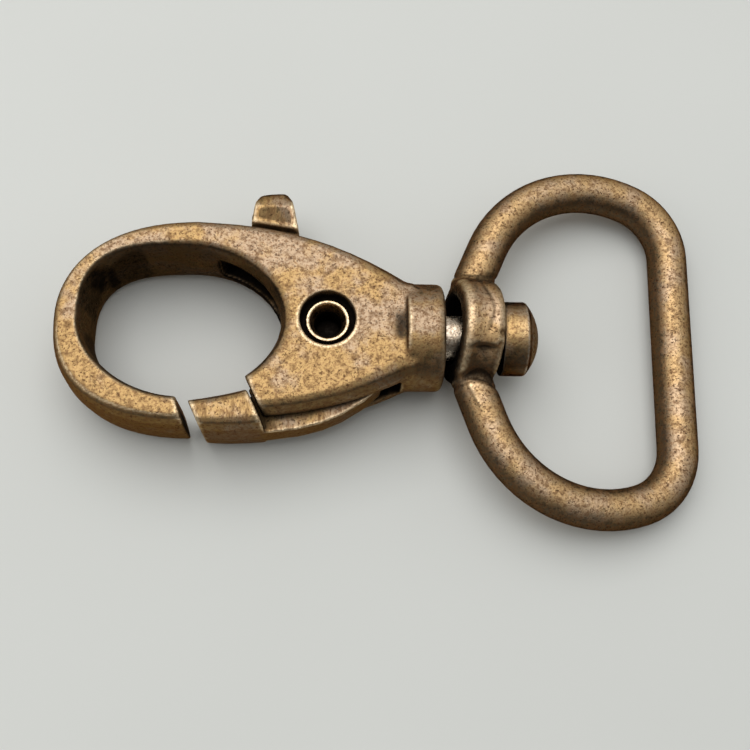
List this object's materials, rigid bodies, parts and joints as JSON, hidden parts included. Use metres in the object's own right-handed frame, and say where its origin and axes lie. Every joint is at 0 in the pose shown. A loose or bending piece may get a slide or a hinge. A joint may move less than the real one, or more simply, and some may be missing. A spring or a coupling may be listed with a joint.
{
  "type": "snap hook",
  "caption": "Small cast snap hook with a thumb lever gate, a turning swivel and a rocking D-ring that takes a webbing or leather strap.",
  "frame": {"origin": "on the lever's pivot axis, in the plane of the hook casting's flat back", "axes": "+X from the pivot to the D-ring, along the swivel; +Y towards the thumb tab; +Z out of the casting's front, along the pivot"},
  "size_m": [0.0452, 0.0267, 0.0081],
  "materials": {
    "hook_casting": "antique brass plating on cast zinc, brown patina with pits and rubbed bright edges",
    "lever_casting": "antique brass plating on cast zinc, brown patina, rubbed and streaked on the thumb tab",
    "rivet": "brass plated, rolled lip rubbed bright, dark in the hollow",
    "spring": "bare spring wire",
    "stud": "worn to bright metal on the neck, brown patina on the head",
    "ring_casting": "antique brass plating on cast zinc, brown patina, rough along the bar"
  },
  "bodies": {
    "hook": {"hook_body": "hook_casting", "pivot_rivet": "rivet"},
    "lever": {"gate_lever": "lever_casting", "torsion_spring": "spring"},
    "stud": {"swivel_stud": "stud"},
    "ring": {"d_ring": "ring_casting"}
  },
  "joints": [
    {"name": "gate_swing", "type": "hinge", "parent": "hook", "child": "lever", "pos_m": [0, 0, 0], "axis": [0, 0, -1], "range_deg": [0, 26], "stiffness_Nm_per_rad": 0.04, "deforming": ["torsion_spring"]},
    {"name": "swivel_turn", "type": "hinge", "parent": "hook", "child": "stud", "pos_m": [0.00535, -0.0004, 0.003], "axis": [1, 0, 0], "continuous": true},
    {"name": "ring_rock", "type": "hinge", "parent": "stud", "child": "ring", "pos_m": [0.01002, 0, 0.00305], "axis": [0, 1, 0], "range_deg": [-21, 0]}
  ]
}
